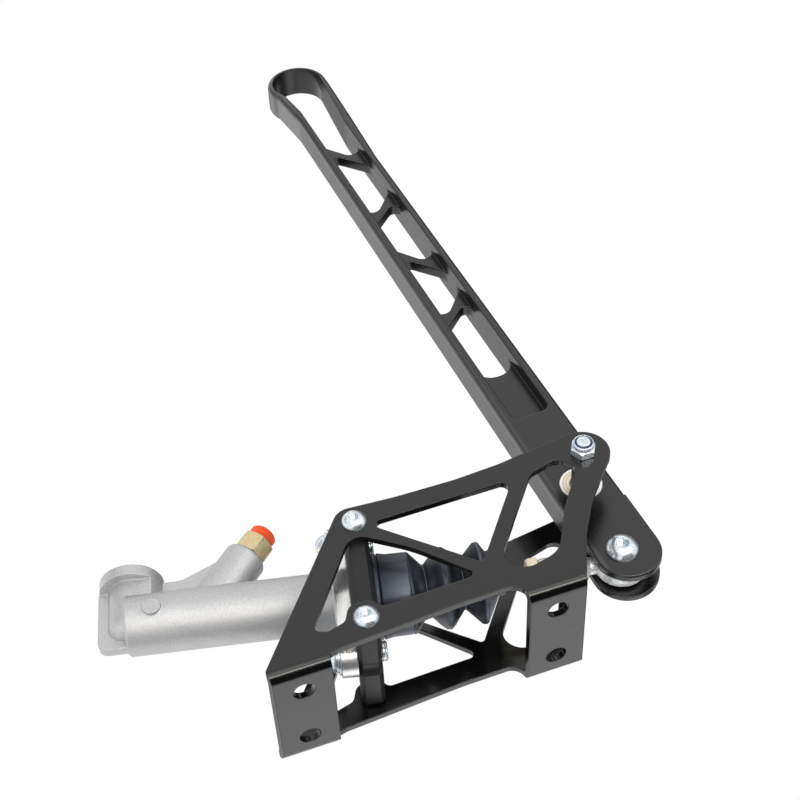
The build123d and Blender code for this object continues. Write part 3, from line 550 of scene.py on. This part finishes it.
def boot_bellows(material):
    """The boot's two folds, from the base to the rod."""
    start = 15.9
    end = 56.0
    start_radius = 16.9
    bore_radius = 15.4
    ridge_radius = 18.0
    ridge_inner_radius = 15.3
    valley_radius = 10.55
    valley_inner_radius = 8.7
    rod_radius = 4.7
    bead_highlight = 0.6

    def ridge(back, back_highlight, front_highlight):
        """The two corners of a fold's outer edge."""
        return [
            (back, ridge_radius - 0.5, 1.2, back_highlight),
            (back + 2.3, ridge_radius, 1.3, front_highlight),
        ]

    def valley(middle):
        """The bottom between two folds, with a fine bead lightened as a painted highlight."""
        return [
            (middle - 0.2, valley_radius, 0, 0.0),
            (middle - 0.15, valley_radius + 0.35, 0, bead_highlight),
            (middle + 0.15, valley_radius + 0.35, 0, bead_highlight),
            (middle + 0.2, valley_radius, 0, 0.0),
        ]

    # Each corner's last number lightens the rubber: painted highlights on the folds and beads, with dusty bloom
    corners = [
        (start, bore_radius, 0, 0.0),
        (start, start_radius, 0.4, 0.1),
        (16.8, start_radius, 0.5, 0.05),
        *valley(23.0),
        (27.5, 15.3, 0, 0.05),
        *ridge(29.6, 0.12, 0.1),
        (33.5, 16.2, 0, 0.0),
        *valley(38.6),
        *ridge(45.1, 0.0, 0.25),
        (53.6, 6.9, 1.0, 0.05),
        (end, 6.5, 0.6, 0.2),
        (end, rod_radius, 0.3, 0.0),
        (53.2, rod_radius, 0.5, 0.0),
        (46.4, ridge_inner_radius, 0.8, 0.0),
        (38.5, valley_inner_radius, 0.4, 0.0),
        (30.8, ridge_inner_radius, 0.8, 0.0),
        (23.0, valley_inner_radius, 0.4, 0.0),
        (17.0, bore_radius, 0.3, 0.0),
    ]
    bellows = lathe("boot_bellows", ROD_ORIGIN, ROD_AXIS, rounded(corners, 4), material, sag=BOOT_SAG)
    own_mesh(bellows)
    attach(bellows, "frame")
    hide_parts("boot")


def return_spring(material):
    """The return spring's wire, wound round the bore's axis."""
    steps = 36
    around = 8
    flat_turns = 0.75
    count = SPRING_TURNS * steps
    free_length = SPRING_END - SPRING_START
    rise = free_length - 2 * SPRING_WIRE_RADIUS
    upward = BORE_AXIS.cross(SIDEWAYS)
    verts = []
    faces = []
    for number in range(count + 1):
        angle = 2 * pi * number / steps
        # The first and last turns lie flat against their seats
        risen = (number / steps - flat_turns) / (SPRING_TURNS - 2 * flat_turns)
        share = min(1.0, max(0.0, risen))
        outward = SIDEWAYS * cos(angle) + upward * sin(angle)
        forward = SPRING_START + SPRING_WIRE_RADIUS + rise * share
        middle = BORE_ORIGIN + BORE_AXIS * forward + outward * SPRING_RADIUS
        for corner in range(around):
            turn = 2 * pi * corner / around
            verts.append(middle + SPRING_WIRE_RADIUS * (outward * cos(turn) + BORE_AXIS * sin(turn)))
    for number in range(count):
        here = number * around
        after = here + around
        for first in range(around):
            second = (first + 1) % around
            faces.append((here + first, after + first, after + second, here + second))
    faces.append(tuple(range(around)))
    faces.append(tuple(count * around + corner for corner in reversed(range(around))))
    coil = new_piece("return_spring_coil", verts, faces, material)
    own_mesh(coil)
    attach(coil, "frame")
    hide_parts("return_spring")


def threads(material):
    """Thread turns on the ends of the flange bolts, beyond the block."""
    core_radius = 3.6
    root_radius = 3.9
    crest_radius = 4.25
    pitch = 1.15
    turns = 2
    gap = 0.05
    back = BLOCK_THICKNESS + gap
    profile = [(back, core_radius, 0.0)]
    for turn in range(turns):
        start = back + gap + pitch * turn
        profile.append((start, root_radius, 0.0))
        profile.append((start + 0.5, crest_radius, 0.0))
        profile.append((start + 0.65, crest_radius, 0.0))
        profile.append((start + pitch - 0.01, root_radius, 0.0))
    profile.append((back + gap + pitch * turns, core_radius, 0.0))
    upward = BORE_AXIS.cross(SIDEWAYS)
    for name, side in (("upper", 1), ("lower", -1)):
        origin = BORE_ORIGIN + upward * (side * FLANGE_BOLT_PITCH / 2)
        piece = lathe(f"flange_bolt_thread_{name}", origin, BORE_AXIS, profile, material, turns=32)
        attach(piece, "frame")


# Studio
def area_light(name, at, size, power):
    """A soft round lamp at a point, aimed at the lever's middle; shiny surfaces don't show it."""
    middle = Vector((0.02, 0.0, 0.18))
    data = bpy.data.lights.new(name, "AREA")
    data.shape = "DISK"
    data.size = size
    data.energy = power
    obj = bpy.data.objects.new(name, data)
    bpy.context.collection.objects.link(obj)
    obj.location = at
    obj.rotation_euler = (middle - Vector(at)).to_track_quat("-Z", "Y").to_euler()
    obj.visible_glossy = False


def floor():
    """A pale floor, far below the part, because the camera looks up at the part from below."""
    mesh = bpy.data.meshes.new("floor")
    corners = [(FLOOR_HALF * x, FLOOR_HALF * y, FLOOR_Z) for x, y in ((-1, -1), (1, -1), (1, 1), (-1, 1))]
    mesh.from_pydata(corners, [], [(0, 1, 2, 3)])
    obj = bpy.data.objects.new("floor", mesh)
    bpy.context.collection.objects.link(obj)
    obj.visible_glossy = False
    paint = Graph("floor")
    paint.set(Base_Color=(0.85, 0.85, 0.85, 1), Roughness=0.7)
    paint.set(Emission_Color=(1, 1, 1, 1), Emission_Strength=0.3)
    mesh.materials.append(paint.material)


# Soft boxes and dark cloths as shiny surfaces see them: the direction towards each, the angles in
# degrees within which it is full and beyond which it is gone, and its light
OPEN_LIGHT = (1.24, 1.24, 1.24)
LOBES = (
    ((-0.6, -0.4, 0.67), 12, 28, (0.6, 0.6, 0.62)),
    ((0.71, 0.3, 0.6), 27, 42, (0.14, 0.14, 0.17)),
    ((-0.05, 0.72, 0.69), 20, 32, (0.42, 0.4, 0.37)),
    ((-0.64, 0.5, 0.6), 12, 26, (1.5, 1.5, 1.53)),
    ((0.6, 0.72, -0.36), 16, 30, (0.2, 0.2, 0.23)),
    ((0.2, -0.02, -0.98), 34, 44, (0.006, 0.006, 0.01)),
    ((0.2, 0.72, -0.66), 8, 26, (1.85, 1.85, 1.87)),
)
# Long boxes that run along X, with their reach to each side of the direction in degrees as well
STRIPS = (
    ((0.21, -0.94, -0.27), 3, 18, 28, (2.9, 2.86, 2.8)),
    ((0.21, -0.76, -0.6), 1.3, 4.5, 20, (15.0, 14.2, 12.8)),
)
AMBIENT_STRENGTH = 0.55


def surround():
    """White to the camera and clear materials, soft boxes to shiny ones, plain light to the rest."""
    world = bpy.data.worlds.new("world")
    bpy.context.scene.world = world
    world.use_nodes = True
    graph = Nodes(world.node_tree)
    direction = graph.node("TexCoord").outputs["Generated"]

    def lobe(towards, inner, outer):
        """1 within inner degrees of a direction, 0 beyond outer."""
        facing = graph.along(direction, Vector(towards).normalized())
        return graph.span(facing, 0, 1, cos(radians(outer)), cos(radians(inner)), smooth=True)

    def strip(towards, inner, outer, reach):
        """1 near the line through a direction that runs along X."""
        middle = Vector(towards).normalized()
        across = middle.cross(Vector((1.0, 0.0, 0.0))).normalized()
        off = graph.math("ABSOLUTE", graph.along(direction, across))
        near = graph.span(off, 1, 0, sin(radians(inner)), sin(radians(outer)), smooth=True)
        return graph.math("MULTIPLY", near, lobe(middle, reach, 1.5 * reach))

    def background(strength):
        """An evenly white background."""
        made = graph.node("Background")
        made.inputs["Color"].default_value = (1, 1, 1, 1)
        made.inputs["Strength"].default_value = strength
        return made

    def choose(factor, first, second):
        """first where factor is 0, second where it is 1."""
        made = graph.node("MixShader")
        graph.link(factor, made.inputs["Fac"])
        graph.link(first.outputs[0], made.inputs[1])
        graph.link(second.outputs[0], made.inputs[2])
        return made

    seen = OPEN_LIGHT
    for towards, inner, outer, light in LOBES:
        seen = graph.mix(lobe(towards, inner, outer), seen, light)
    for towards, inner, outer, reach, light in STRIPS:
        seen = graph.mix(strip(towards, inner, outer, reach), seen, light)
    reflected = graph.tree.nodes["Background"]
    graph.link(seen, reflected.inputs["Color"])
    rays = graph.node("LightPath").outputs
    light = choose(rays["Is Glossy Ray"], background(AMBIENT_STRENGTH), reflected)
    shown = graph.math("MAXIMUM", rays["Is Camera Ray"], rays["Is Transmission Ray"])
    surface = choose(shown, light, background(1.0))
    graph.link(surface.outputs[0], graph.tree.nodes["World Output"].inputs["Surface"])


def studio():
    """Soft lamps round the lever and a pale floor far below."""
    area_light("key", (-0.9, -0.9, 1.1), size=0.9, power=11)
    area_light("side", (-1.3, 0.1, 0.1), size=0.8, power=9)
    area_light("below", (0.1, -0.5, -1.0), size=0.9, power=7)
    area_light("far", (0.9, 0.9, 0.7), size=0.9, power=7)
    floor()


camera()
materials = finishes()
dress_nodes(materials)
boot_base(materials["rubber"])
boot_bellows(materials["rubber"])
return_spring(materials["bearing_steel"])
threads(materials["zinc_steel"])
surround()
studio()
bpy.context.scene.view_settings.view_transform = "Standard"
